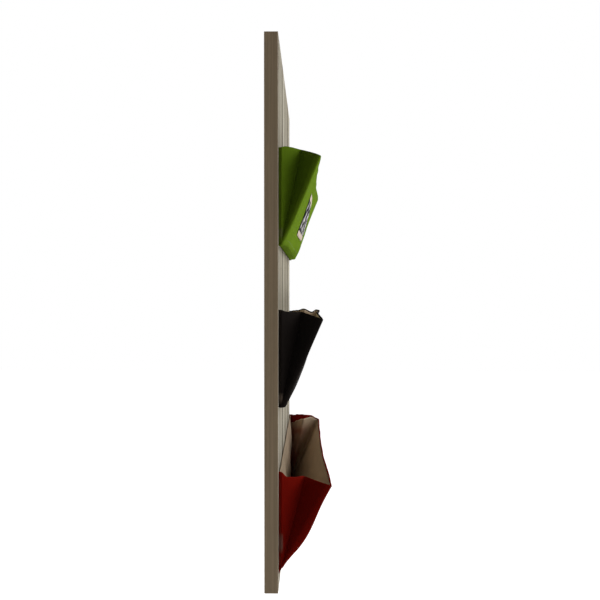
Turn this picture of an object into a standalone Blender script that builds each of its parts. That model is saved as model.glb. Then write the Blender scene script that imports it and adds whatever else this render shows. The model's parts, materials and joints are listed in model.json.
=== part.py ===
"""Wall mail sorter: a flat board with three cloth pockets, one above the other.

Metres, +Z up. The origin is the middle of the board's back, which lies on the wall.
The board's front faces -Y. "Left" is the side at -X.

Each pocket is a bellows. Its front turns about the seam along its bottom, and each side
is a gusset of two leaves that fold inwards along a crease as the front closes.
"""

import math

import bmesh
import bpy
from mathutils import Matrix, Vector

# Board
BOARD_WIDTH = 0.400
BOARD_HEIGHT = 0.600
BOARD_THICKNESS = 0.015
FACE_SHEET_THICKNESS = 0.0008
EDGE_BAND_THICKNESS = 0.001
EDGE_BAND_CHAMFER = 0.0003

# Clearances: between pieces that touch, and from a cut to what passes through it
GAP = 0.0003
HOLE_CLEARANCE = 0.0003
CUT_OVERRUN = 0.002

# Pockets
POCKET_SIDE_INSET = 0.006
POCKET_HEIGHT = 0.1026
POCKET_PITCH = 0.1747
LOWEST_SEAM_RISE = 0.0261
MOST_FURTHER_OPENING = math.radians(3)
BACK_PANEL_THICKNESS = 0.0012
LINING_THICKNESS = 0.001
FRONT_THICKNESS = 0.0012
BELLY = 0.0046
RIM_DIP = 0.0042
BELLY_TOP_SHARE = 0.77
BELLY_SKEW_SHARE = 0.617
FRONT_COLUMNS = 16
FRONT_ROWS = 9
# How far the skin's tilted foot hangs below the seam
FRONT_FOOT_HANG = 0.0004

# Gussets
GUSSET_THICKNESS = 0.0012
GUSSET_SLACK = math.radians(10)
GUSSET_TRIM = math.radians(0.45)
GUSSET_TIP_CUT = 0.005

# Binding along the bottom seam
BINDING_HEIGHT = 0.002
BINDING_CORNER = 0.0015
BINDING_CORNER_STEPS = 4

# Label on the top pocket
LABEL_WIDTH = 0.100
LABEL_HEIGHT = 0.056
LABEL_THICKNESS = 0.0006
LABEL_RISE_SHARE = 0.5
LABEL_COLUMNS = 5
LABEL_ROWS = 6

# Tacks that hold each pocket's back panel to the board
TACK_SHANK_RADIUS = 0.0015
TACK_SHANK_LENGTH = 0.011
TACK_HEAD_RADIUS = 0.0045
TACK_HEAD_HEIGHT = 0.0016
TACK_POINT_LENGTH = 0.003
TACK_SIDE_INSET = 0.070
TACK_DROP = 0.018
# A tack's domed head, as shares of the head's radius and height
TACK_HEAD_SHARES = ((0.0, 1.0), (0.55, 0.85), (0.9, 0.4), (1.0, 0.0))
ROUND_STEPS = 20
MERGE_DISTANCE = 0.00001

# Keyhole plates, let into the board's back
PLATE_WIDTH = 0.018
PLATE_LENGTH = 0.050
PLATE_THICKNESS = 0.0015
PLATE_CORNER = 0.003
PLATE_RECESS_DEPTH = 0.0032
PLATE_SIDE_INSET = 0.050
PLATE_DROP = 0.048
KEYHOLE_RADIUS = 0.0048
KEYHOLE_SLOT_WIDTH = 0.005
KEYHOLE_RUN = 0.011
KEYHOLE_STEPS = 18
HEAD_ROOM_WIDTH = 0.012
HEAD_ROOM_DEPTH = 0.0085
HEAD_ROOM_MARGIN = 0.0015
PLATE_SCREW_SPACING = 0.038
PLATE_SCREW_RADIUS = 0.0014
PLATE_SCREW_LENGTH = 0.0085
PLATE_SCREW_HEAD_RADIUS = 0.0028
PLATE_SCREW_HEAD_SINK = 0.0002
PLATE_SCREW_POINT_LENGTH = 0.002

# From the top down: name, opening at the left and right side in degrees, crease length as a
# share of the pocket's height, colour
POCKETS = (
    ("green", 22.4, 22.4, 1.055, (0.155, 0.270, 0.022)),
    ("black", 23.9, 23.9, 1.020, (0.010, 0.009, 0.009)),
    ("red", 29.9, 23.5, 0.960, (0.260, 0.010, 0.006)),
)

TAUPE = (0.150, 0.118, 0.082)
WEATHERED = (0.400, 0.370, 0.310)
FIBREBOARD = (0.330, 0.225, 0.130)
LINING = (0.420, 0.330, 0.230)
STEEL = (0.560, 0.570, 0.580)
LABEL_CREAM = (0.640, 0.560, 0.460)

# What follows from the sizes above
POCKET_WIDTH = BOARD_WIDTH - 2 * POCKET_SIDE_INSET
CORE_FRONT_Y = -(BOARD_THICKNESS - FACE_SHEET_THICKNESS - GAP)
CORE_HALF_WIDTH = BOARD_WIDTH / 2 - EDGE_BAND_THICKNESS - GAP
CORE_HALF_HEIGHT = BOARD_HEIGHT / 2 - EDGE_BAND_THICKNESS - GAP
BACK_PANEL_FRONT_Y = -(BOARD_THICKNESS + GAP + BACK_PANEL_THICKNESS)
LEAF_ROOM = GUSSET_THICKNESS + GAP
HINGE_Y = BACK_PANEL_FRONT_Y - LEAF_ROOM
FRONT_BUILD_UP = LEAF_ROOM + LINING_THICKNESS + GAP + FRONT_THICKNESS
PLATE_FRONT_Y = -(PLATE_RECESS_DEPTH - GAP)
PLATE_BACK_Y = PLATE_FRONT_Y + PLATE_THICKNESS


def clear_scene():
    for found in list(bpy.data.objects):
        bpy.data.objects.remove(found, do_unlink=True)


def new_collection(name):
    made = bpy.data.collections.new(name)
    bpy.context.scene.collection.children.link(made)
    return made


clear_scene()
PART = new_collection("wall_mail_sorter")
CUTTERS = new_collection("cutters")


def plain_material(name, colour, roughness, metallic=0.0):
    made = bpy.data.materials.new(name)
    made.use_nodes = True
    shader = made.node_tree.nodes["Principled BSDF"]
    shader.inputs["Base Color"].default_value = (*colour, 1.0)
    shader.inputs["Roughness"].default_value = roughness
    shader.inputs["Metallic"].default_value = metallic
    return made


def cloth_material(name, colour):
    return plain_material(name, colour, 0.82)


def board_material(name, colour):
    return plain_material(name, colour, 0.6)


def steel_material(name):
    return plain_material(name, STEEL, 0.35, 1.0)


def add_object(name, data, material=None, collection=PART):
    made = bpy.data.objects.new(name, data)
    collection.objects.link(made)
    if material:
        data.materials.append(material)
    return made


def add_cutter(name, data):
    made = add_object(name, data, collection=CUTTERS)
    made.hide_render = True
    made.display_type = "WIRE"
    return made


def box_mesh(name, low, high):
    """A box between two corners."""
    low, high = Vector(low), Vector(high)
    shape = bmesh.new()
    bmesh.ops.create_cube(shape, size=1.0)
    bmesh.ops.scale(shape, vec=high - low, verts=shape.verts)
    bmesh.ops.translate(shape, vec=(low + high) / 2, verts=shape.verts)
    mesh = bpy.data.meshes.new(name)
    shape.to_mesh(mesh)
    shape.free()
    return mesh


def rod_mesh(name, radius, y_low, y_high, x, z):
    """A cylinder along Y, as a cutter for a round hole."""
    shape = bmesh.new()
    bmesh.ops.create_cone(
        shape,
        cap_ends=True,
        segments=ROUND_STEPS,
        radius1=radius,
        radius2=radius,
        depth=y_high - y_low,
    )
    turn = Matrix.Rotation(math.radians(90), 4, "X")
    place = Matrix.Translation((x, (y_low + y_high) / 2, z))
    bmesh.ops.transform(shape, matrix=place @ turn, verts=shape.verts)
    mesh = bpy.data.meshes.new(name)
    shape.to_mesh(mesh)
    shape.free()
    return mesh


def cut(piece, cutter):
    step = piece.modifiers.new("cut " + cutter.name, "BOOLEAN")
    step.operation = "DIFFERENCE"
    step.solver = "EXACT"
    step.object = cutter


def flat_outline(name, loops, thickness, material):
    """A flat plate in its own XY plane; loops after the first are holes in it."""
    curve = bpy.data.curves.new(name, "CURVE")
    curve.dimensions = "2D"
    curve.fill_mode = "BOTH"
    curve.extrude = thickness / 2
    for points in loops:
        spline = curve.splines.new("POLY")
        spline.points.add(len(points) - 1)
        for point, (x, y) in zip(spline.points, points):
            point.co = (x, y, 0.0, 1.0)
        spline.use_cyclic_u = True
    return add_object(name, curve, material)


def turned_piece(name, profile, material):
    """A turned piece along its own Z, from a profile of (radius, height) that starts and ends at radius 0."""
    mesh = bpy.data.meshes.new(name)
    count = len(profile)
    mesh.from_pydata(
        [(radius, 0.0, height) for radius, height in profile],
        [(i, i + 1) for i in range(count - 1)],
        [],
    )
    piece = add_object(name, mesh, material)
    turn = piece.modifiers.new("turn", "SCREW")
    turn.axis = "Z"
    turn.steps = ROUND_STEPS
    turn.render_steps = ROUND_STEPS
    turn.use_merge_vertices = True
    turn.merge_threshold = MERGE_DISTANCE
    turn.use_smooth_shade = True
    return piece


def arc(centre, radius, start, end, steps):
    """Points of an arc in a plane, both ends included, with angles in radians."""
    turns = [start + (end - start) * i / steps for i in range(steps + 1)]
    return [(centre[0] + radius * math.cos(t), centre[1] + radius * math.sin(t)) for t in turns]


def round_rectangle(width, height, corner, steps):
    points = []
    for i, (side_x, side_y) in enumerate(((1, 1), (-1, 1), (-1, -1), (1, -1))):
        centre = (side_x * (width / 2 - corner), side_y * (height / 2 - corner))
        points += arc(centre, corner, i * math.pi / 2, (i + 1) * math.pi / 2, steps)
    return points


def keyhole(steps):
    """The wide hole at the bottom and the slot above it, about the middle of the slot's run."""
    low, high = -KEYHOLE_RUN / 2, KEYHOLE_RUN / 2
    slot_radius = KEYHOLE_SLOT_WIDTH / 2
    half_mouth = math.asin(slot_radius / KEYHOLE_RADIUS)
    upright = math.pi / 2
    around = arc((0.0, low), KEYHOLE_RADIUS, upright + half_mouth, 5 * upright - half_mouth, steps)
    return around + arc((0.0, high), slot_radius, 0.0, math.pi, steps // 2)


# Board

def tack_places():
    """Each tack's name, x and z."""
    reach = POCKET_WIDTH / 2 - TACK_SIDE_INSET
    for index, pocket in enumerate(POCKETS):
        z = seam_height(index) + POCKET_HEIGHT - TACK_DROP
        for side, x in (("left", -reach), ("middle", 0.0), ("right", reach)):
            yield f"{pocket[0]}_tack_{side}", x, z


def plate_places():
    """Each keyhole plate's side name, x and z."""
    reach = BOARD_WIDTH / 2 - PLATE_SIDE_INSET
    z = BOARD_HEIGHT / 2 - PLATE_DROP
    yield "left", -reach, z
    yield "right", reach, z


def plate_screw_places(plate_z):
    """Each screw's end name and z."""
    yield "lower", plate_z - PLATE_SCREW_SPACING / 2
    yield "upper", plate_z + PLATE_SCREW_SPACING / 2


def make_core_board():
    core = add_object(
        "core_board",
        box_mesh(
            "core_board",
            (-CORE_HALF_WIDTH, CORE_FRONT_Y, -CORE_HALF_HEIGHT),
            (CORE_HALF_WIDTH, 0.0, CORE_HALF_HEIGHT),
        ),
        board_material("raw_fibreboard", FIBREBOARD),
    )
    for name, x, z in tack_places():
        cut(core, tack_hole(name + "_pilot", x, z))
    for side, x, z in plate_places():
        for cutter in plate_cutters(side, x, z):
            cut(core, cutter)
    return core


def tack_hole(name, x, z):
    """A blind hole that opens to the front, for a tack's shank."""
    deepest = BACK_PANEL_FRONT_Y + TACK_SHANK_LENGTH + HOLE_CLEARANCE
    front = BACK_PANEL_FRONT_Y - CUT_OVERRUN
    mesh = rod_mesh(name, TACK_SHANK_RADIUS + HOLE_CLEARANCE, front, deepest, x, z)
    return add_cutter(name, mesh)


def plate_cutters(side, x, z):
    """The plate's recess, the room behind its keyhole for a screw's head, and its pilot holes."""
    half_x, half_z = PLATE_WIDTH / 2 + GAP, PLATE_LENGTH / 2 + GAP
    yield add_cutter(
        f"recess_{side}",
        box_mesh(
            f"recess_{side}",
            (x - half_x, -PLATE_RECESS_DEPTH, z - half_z),
            (x + half_x, CUT_OVERRUN, z + half_z),
        ),
    )
    room_half_z = KEYHOLE_RUN / 2 + KEYHOLE_RADIUS + HEAD_ROOM_MARGIN
    yield add_cutter(
        f"head_room_{side}",
        box_mesh(
            f"head_room_{side}",
            (x - HEAD_ROOM_WIDTH / 2, -(PLATE_RECESS_DEPTH + HEAD_ROOM_DEPTH), z - room_half_z),
            (x + HEAD_ROOM_WIDTH / 2, CUT_OVERRUN, z + room_half_z),
        ),
    )
    deepest = PLATE_BACK_Y - PLATE_SCREW_LENGTH - HOLE_CLEARANCE
    for end, screw_z in plate_screw_places(z):
        name = f"plate_pilot_{side}_{end}"
        radius = PLATE_SCREW_RADIUS + HOLE_CLEARANCE
        yield add_cutter(name, rod_mesh(name, radius, deepest, CUT_OVERRUN, x, screw_z))


def make_face_sheet():
    sheet = add_object(
        "face_sheet",
        box_mesh(
            "face_sheet",
            (-CORE_HALF_WIDTH, -BOARD_THICKNESS, -CORE_HALF_HEIGHT),
            (CORE_HALF_WIDTH, -(BOARD_THICKNESS - FACE_SHEET_THICKNESS), CORE_HALF_HEIGHT),
        ),
        board_material("weathered_print", WEATHERED),
    )
    for name, x, z in tack_places():
        cut(sheet, tack_hole(name + "_sheet_hole", x, z))
    return sheet


def make_edge_bands():
    """The side bands run the full height, and the end bands lie between them."""
    half_w, half_h = BOARD_WIDTH / 2, BOARD_HEIGHT / 2
    inner_w = half_w - EDGE_BAND_THICKNESS
    inner_h = half_h - EDGE_BAND_THICKNESS
    end_w = inner_w - GAP
    boxes = (
        ("edge_band_left", (-half_w, -half_h), (-inner_w, half_h)),
        ("edge_band_right", (inner_w, -half_h), (half_w, half_h)),
        ("edge_band_top", (-end_w, inner_h), (end_w, half_h)),
        ("edge_band_bottom", (-end_w, -half_h), (end_w, -inner_h)),
    )
    for name, (x_low, z_low), (x_high, z_high) in boxes:
        mesh = box_mesh(name, (x_low, -BOARD_THICKNESS, z_low), (x_high, 0.0, z_high))
        band = add_object(name, mesh, board_material(name + "_taupe", TAUPE))
        chamfer = band.modifiers.new("chamfer", "BEVEL")
        chamfer.width = EDGE_BAND_CHAMFER
        chamfer.segments = 1


# Hanging hardware

def solid_of(curve_piece):
    """The same piece as a mesh with welded caps, because a curve can't be cut."""
    bpy.context.view_layer.update()
    seen = curve_piece.evaluated_get(bpy.context.evaluated_depsgraph_get())
    mesh = bpy.data.meshes.new_from_object(seen)
    shape = bmesh.new()
    shape.from_mesh(mesh)
    bmesh.ops.remove_doubles(shape, verts=shape.verts, dist=MERGE_DISTANCE)
    shape.to_mesh(mesh)
    shape.free()
    name, place = curve_piece.name, curve_piece.matrix_world.copy()
    bpy.data.objects.remove(curve_piece)
    piece = add_object(name, mesh)
    piece.matrix_world = place
    return piece


def countersink(name, x, z):
    """A cone that opens the plate's back for a sunk screw head, clear of it by the gap all round."""
    face_radius = PLATE_SCREW_HEAD_RADIUS + PLATE_SCREW_HEAD_SINK + GAP
    shape = bmesh.new()
    bmesh.ops.create_cone(
        shape,
        cap_ends=True,
        segments=ROUND_STEPS,
        radius1=face_radius + CUT_OVERRUN,
        radius2=face_radius - PLATE_THICKNESS - GAP,
        depth=CUT_OVERRUN + PLATE_THICKNESS + GAP,
    )
    middle_y = PLATE_BACK_Y + (CUT_OVERRUN - PLATE_THICKNESS - GAP) / 2
    turn = Matrix.Rotation(math.radians(90), 4, "X")
    bmesh.ops.transform(shape, matrix=Matrix.Translation((x, middle_y, z)) @ turn, verts=shape.verts)
    mesh = bpy.data.meshes.new(name)
    shape.to_mesh(mesh)
    shape.free()
    return add_cutter(name, mesh)


def make_keyhole_plate(side, x, z):
    outline = round_rectangle(PLATE_WIDTH, PLATE_LENGTH, PLATE_CORNER, KEYHOLE_STEPS // 3)
    name = f"keyhole_plate_{side}"
    loops = [outline, keyhole(KEYHOLE_STEPS)]
    plate = flat_outline(name, loops, PLATE_THICKNESS, steel_material(name + "_steel"))
    plate.rotation_euler = (math.radians(90), 0.0, 0.0)
    plate.location = (x, PLATE_FRONT_Y + PLATE_THICKNESS / 2, z)
    plate = solid_of(plate)
    for end, screw_z in plate_screw_places(z):
        cut(plate, countersink(f"countersink_{side}_{end}", x, screw_z))


def make_plate_screw(side, end, x, z):
    """A countersunk screw, its flat head just below the plate's back face."""
    cone = PLATE_SCREW_HEAD_RADIUS - PLATE_SCREW_RADIUS
    profile = (
        (0.0, -PLATE_SCREW_HEAD_SINK),
        (PLATE_SCREW_HEAD_RADIUS, -PLATE_SCREW_HEAD_SINK),
        (PLATE_SCREW_RADIUS, -(PLATE_SCREW_HEAD_SINK + cone)),
        (PLATE_SCREW_RADIUS, PLATE_SCREW_POINT_LENGTH - PLATE_SCREW_LENGTH),
        (0.0, -PLATE_SCREW_LENGTH),
    )
    name = f"plate_screw_{side}_{end}"
    screw = turned_piece(name, profile, steel_material(name + "_steel"))
    screw.rotation_euler = (math.radians(-90), 0.0, 0.0)
    screw.location = (x, PLATE_BACK_Y, z)


def make_hangers():
    for side, x, z in plate_places():
        make_keyhole_plate(side, x, z)
        for end, screw_z in plate_screw_places(z):
            make_plate_screw(side, end, x, screw_z)


# Pockets

def seam_height(index):
    """The height of a pocket's hinge line; index 0 is the top pocket."""
    steps_up = len(POCKETS) - 1 - index
    return -BOARD_HEIGHT / 2 + LOWEST_SEAM_RISE + steps_up * POCKET_PITCH


def binding_top(widest_opening):
    """The binding's flat top, below the seam height, clear of the front at its widest."""
    return -(FRONT_BUILD_UP * math.sin(widest_opening + MOST_FURTHER_OPENING) + FRONT_FOOT_HANG + GAP)


def make_back_panel(pocket, seam_z, lowest):
    name = pocket + "_back_panel"
    panel = add_object(
        name,
        box_mesh(
            name,
            (-POCKET_WIDTH / 2, BACK_PANEL_FRONT_Y, seam_z + lowest + GAP),
            (POCKET_WIDTH / 2, BACK_PANEL_FRONT_Y + BACK_PANEL_THICKNESS, seam_z + POCKET_HEIGHT),
        ),
        cloth_material(name + "_lining", LINING),
    )
    for tack, x, z in tack_places():
        if tack.startswith(pocket):
            cut(panel, tack_hole(tack + "_cloth_hole", x, z))
    return panel


def make_tacks(pocket):
    """Three tacks, whose domed heads rest a gap above the cloth."""
    profile = [(x * TACK_HEAD_RADIUS, GAP + y * TACK_HEAD_HEIGHT) for x, y in TACK_HEAD_SHARES]
    profile.append((TACK_SHANK_RADIUS, GAP))
    profile.append((TACK_SHANK_RADIUS, TACK_POINT_LENGTH - TACK_SHANK_LENGTH))
    profile.append((0.0, -TACK_SHANK_LENGTH))
    for name, x, z in tack_places():
        if not name.startswith(pocket):
            continue
        tack = turned_piece(name, profile, steel_material(name + "_steel"))
        tack.rotation_euler = (math.radians(90), 0.0, 0.0)
        tack.location = (x, BACK_PANEL_FRONT_Y, z)


def make_binding(pocket, seam_z, lowest, colour):
    """A strip along the seam with a round lower front edge, as deep as the pocket's bottom."""
    depth = BACK_PANEL_THICKNESS + LEAF_ROOM + FRONT_BUILD_UP
    points = [(0.0, 0.0), (0.0, -BINDING_HEIGHT)]
    centre = (depth - BINDING_CORNER, BINDING_CORNER - BINDING_HEIGHT)
    points += arc(centre, BINDING_CORNER, -math.pi / 2, 0.0, BINDING_CORNER_STEPS)
    points.append((depth, 0.0))
    name = pocket + "_bottom_binding"
    strip = flat_outline(name, [points], POCKET_WIDTH, cloth_material(name + "_cloth", colour))
    strip.matrix_world = Matrix(
        (
            (0.0, 0.0, -1.0, 0.0),
            (-1.0, 0.0, 0.0, -(BOARD_THICKNESS + GAP)),
            (0.0, 1.0, 0.0, seam_z + lowest),
            (0.0, 0.0, 0.0, 1.0),
        )
    )
    return strip


def front_point(opening, across, up, offset):
    """A point of the front from its middle seam point: shares across and up, and a distance outwards.

    The front turns a little from side to side where its openings differ, bellies out near the
    bottom and dips towards the board at the middle of its rim.
    """
    left, right = opening
    angle = left + (right - left) * across
    along = Vector((0.0, -math.sin(angle), math.cos(angle)))
    outwards = Vector((0.0, -math.cos(angle), -math.sin(angle)))
    side = 2 * across - 1
    belly = 0.0
    if up < BELLY_TOP_SHARE:
        swell = math.sin(math.pi * (up / BELLY_TOP_SHARE) ** BELLY_SKEW_SHARE)
        belly = BELLY * swell * (1 - side**4)
    dip = RIM_DIP * up**3 * (1 - side**2) ** 2
    place = Vector(((across - 0.5) * POCKET_WIDTH, 0.0, 0.0))
    return place + along * (up * POCKET_HEIGHT) + outwards * (offset + belly - dip)


def curved_sheet(name, opening, offset, thickness, spans, counts, material):
    """A cloth sheet that follows the front, between shares (across_low, across_high, up_low, up_high)."""
    across_low, across_high, up_low, up_high = spans
    shape = bmesh.new()
    bmesh.ops.create_grid(shape, x_segments=counts[0], y_segments=counts[1], size=0.5)
    for vertex in shape.verts:
        across = across_low + (across_high - across_low) * (vertex.co.x + 0.5)
        up = up_low + (up_high - up_low) * (vertex.co.y + 0.5)
        vertex.co = front_point(opening, across, up, offset)
    mesh = bpy.data.meshes.new(name)
    shape.to_mesh(mesh)
    shape.free()
    sheet = add_object(name, mesh, material)
    skin = sheet.modifiers.new("cloth", "SOLIDIFY")
    skin.thickness = thickness
    skin.offset = 1.0
    return sheet


def make_front(pocket, opening, colour, hinge):
    whole = (0.0, 1.0, 0.0, 1.0)
    counts = (FRONT_COLUMNS, FRONT_ROWS)
    name = pocket + "_front_lining"
    cloth = cloth_material(name + "_cloth", LINING)
    lining = curved_sheet(name, opening, LEAF_ROOM, LINING_THICKNESS, whole, counts, cloth)
    lining.parent = hinge
    name = pocket + "_front_panel"
    cloth = cloth_material(name + "_cloth", colour)
    offset = FRONT_BUILD_UP - FRONT_THICKNESS
    panel = curved_sheet(name, opening, offset, FRONT_THICKNESS, whole, counts, cloth)
    panel.parent = hinge


def make_label(opening, hinge):
    half_across = LABEL_WIDTH / POCKET_WIDTH / 2
    half_up = LABEL_HEIGHT / POCKET_HEIGHT / 2
    spans = (
        0.5 - half_across,
        0.5 + half_across,
        LABEL_RISE_SHARE - half_up,
        LABEL_RISE_SHARE + half_up,
    )
    offset = FRONT_BUILD_UP + GAP
    counts = (LABEL_COLUMNS, LABEL_ROWS)
    card = plain_material("label_card", LABEL_CREAM, 0.5)
    label = curved_sheet("green_label", opening, offset, LABEL_THICKNESS, spans, counts, card)
    label.parent = hinge


def fold_of(opening):
    """Half a gusset's angle at its lower corner, and how far its leaves stand off the panels."""
    leaf = (opening + GUSSET_SLACK) / 2
    tilt = math.acos(math.cos(leaf) / math.cos(opening / 2))
    swing = math.atan2(math.cos(tilt) * math.sin(opening / 2), math.sin(tilt))
    return leaf, swing


def mirrored(vector, opening):
    """A vector of a rear leaf, carried over to the front leaf through the plane between them."""
    normal = Vector((0.0, -math.cos(opening / 2), -math.sin(opening / 2)))
    return vector - 2 * vector.dot(normal) * normal


def leaf_outline(leaf, crease_length):
    """A leaf in its own plane: X runs from the sewn edge to the crease, and Y up the sewn edge."""
    turn = leaf - GUSSET_TRIM
    crease = Vector((math.sin(turn), math.cos(turn)))
    back_off = Vector((-math.cos(turn), math.sin(turn))) * (GAP / 2)
    low = crease * GUSSET_TIP_CUT + back_off
    high = crease * crease_length + back_off
    return [(0.0, GUSSET_TIP_CUT), tuple(low), tuple(high), (0.0, POCKET_HEIGHT)]


def make_gusset(pocket, side, opening, crease_share, colour, seam_z, hinge):
    """The two leaves at one side; each leaf's origin is the corner where all its fold lines meet."""
    inwards = 1.0 if side == "left" else -1.0
    corner = Vector((-inwards * POCKET_WIDTH / 2, HINGE_Y, seam_z))
    leaf, swing = fold_of(opening)
    outline = leaf_outline(leaf, crease_share * POCKET_HEIGHT)
    across = Vector((inwards * math.cos(swing), -math.sin(swing), 0.0))
    inside = Vector((inwards * math.sin(swing), math.cos(swing), 0.0))
    upright = Vector((0.0, 0.0, 1.0))
    for end in ("rear", "front"):
        name = f"{pocket}_gusset_{end}_{side}"
        if end == "front":
            across, inside, upright = (mirrored(v, opening) for v in (across, inside, upright))
        cloth = cloth_material(name + "_cloth", colour)
        plate = flat_outline(name, [outline], GUSSET_THICKNESS, cloth)
        turn = Matrix((across, upright, across.cross(upright))).transposed().to_4x4()
        place = corner + inside * (GUSSET_THICKNESS / 2)
        if end == "front":
            plate.parent = hinge
            place -= hinge.location
        plate.matrix_local = Matrix.Translation(place) @ turn


def make_pocket(index):
    pocket, left, right, crease_share, colour = POCKETS[index]
    opening = (math.radians(left), math.radians(right))
    seam_z = seam_height(index)
    lowest = binding_top(max(opening))
    hinge = add_object(pocket + "_front_hinge", None)
    hinge.location = (0.0, HINGE_Y, seam_z)
    make_back_panel(pocket, seam_z, lowest)
    make_tacks(pocket)
    make_binding(pocket, seam_z, lowest, colour)
    make_front(pocket, opening, colour, hinge)
    for side, angle in zip(("left", "right"), opening):
        make_gusset(pocket, side, angle, crease_share, colour, seam_z, hinge)
    if index == 0:
        make_label(opening, hinge)


make_core_board()
make_face_sheet()
make_edge_bands()
make_hangers()
for number in range(len(POCKETS)):
    make_pocket(number)
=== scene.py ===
"""Looks of the wall mail sorter: a printed board with three lined cloth pockets.

Metres, +Z up, the board's back on the plane y = 0, and its front towards -Y.
"""

import json
import math
from types import SimpleNamespace

import bmesh
import bpy
import numpy as np
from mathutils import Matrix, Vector


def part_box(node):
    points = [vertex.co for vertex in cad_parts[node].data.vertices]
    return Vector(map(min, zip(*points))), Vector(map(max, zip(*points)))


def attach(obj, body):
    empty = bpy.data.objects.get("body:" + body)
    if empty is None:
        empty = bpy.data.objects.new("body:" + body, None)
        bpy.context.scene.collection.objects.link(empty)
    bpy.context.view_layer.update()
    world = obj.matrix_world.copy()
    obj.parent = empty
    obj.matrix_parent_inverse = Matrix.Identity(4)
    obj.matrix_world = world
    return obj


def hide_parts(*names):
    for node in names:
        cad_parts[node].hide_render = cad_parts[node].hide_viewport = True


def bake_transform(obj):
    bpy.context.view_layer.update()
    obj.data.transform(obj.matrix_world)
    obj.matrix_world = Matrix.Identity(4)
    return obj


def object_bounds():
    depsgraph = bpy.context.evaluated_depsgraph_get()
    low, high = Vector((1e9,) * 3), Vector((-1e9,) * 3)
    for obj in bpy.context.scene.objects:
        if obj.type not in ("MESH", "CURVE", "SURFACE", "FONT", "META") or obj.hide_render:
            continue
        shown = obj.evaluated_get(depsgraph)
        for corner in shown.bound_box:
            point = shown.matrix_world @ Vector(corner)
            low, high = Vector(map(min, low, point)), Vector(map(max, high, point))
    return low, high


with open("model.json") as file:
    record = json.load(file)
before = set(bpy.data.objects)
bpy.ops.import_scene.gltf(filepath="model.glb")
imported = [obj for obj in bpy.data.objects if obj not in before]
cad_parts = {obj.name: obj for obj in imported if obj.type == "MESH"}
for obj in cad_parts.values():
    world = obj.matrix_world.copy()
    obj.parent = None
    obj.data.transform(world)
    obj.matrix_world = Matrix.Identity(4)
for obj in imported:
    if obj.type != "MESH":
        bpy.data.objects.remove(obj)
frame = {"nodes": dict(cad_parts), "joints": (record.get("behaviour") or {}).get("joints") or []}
CAD_BOX = [list(corner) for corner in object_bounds()]

# Camera, worked out from the corners of the board in the photograph
CAMERA_PLACE = (-0.98634, -0.050725, 0.024947)
CAMERA_TOWARDS = (1.0, 0.015807, -0.012897)
LENS_MM = 44.293

# Lamps that look at the origin: place, size and power
LAMPS = {
    "key": ((0.38, -2.0, 1.25), 2.2, 52.0),
    "side": ((-2.0, -1.6, 0.6), 1.8, 3.4),
    "low": ((0.30, -0.80, -0.80), 1.0, 9.0),
    "back": ((1.4, 2.1, 0.8), 1.5, 60.0),
}
AMBIENT = 0.044
WHITE = (1.0, 1.0, 1.0)
FLOOR_GREY = (0.80, 0.80, 0.80)
FLOOR_DROP = 0.55
FLOOR_SIZE = 14.0
# White by its own glow and the light on it near the part, and by its glow alone far away
FLOOR_GLOW = 0.74
FLOOR_NEAR = 1.2
FLOOR_FAR = 3.0

SIDES = ("left", "right")
RIM_STATIONS = (0.0, 0.125, 0.25, 0.5, 0.75, 1.0)

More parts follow.
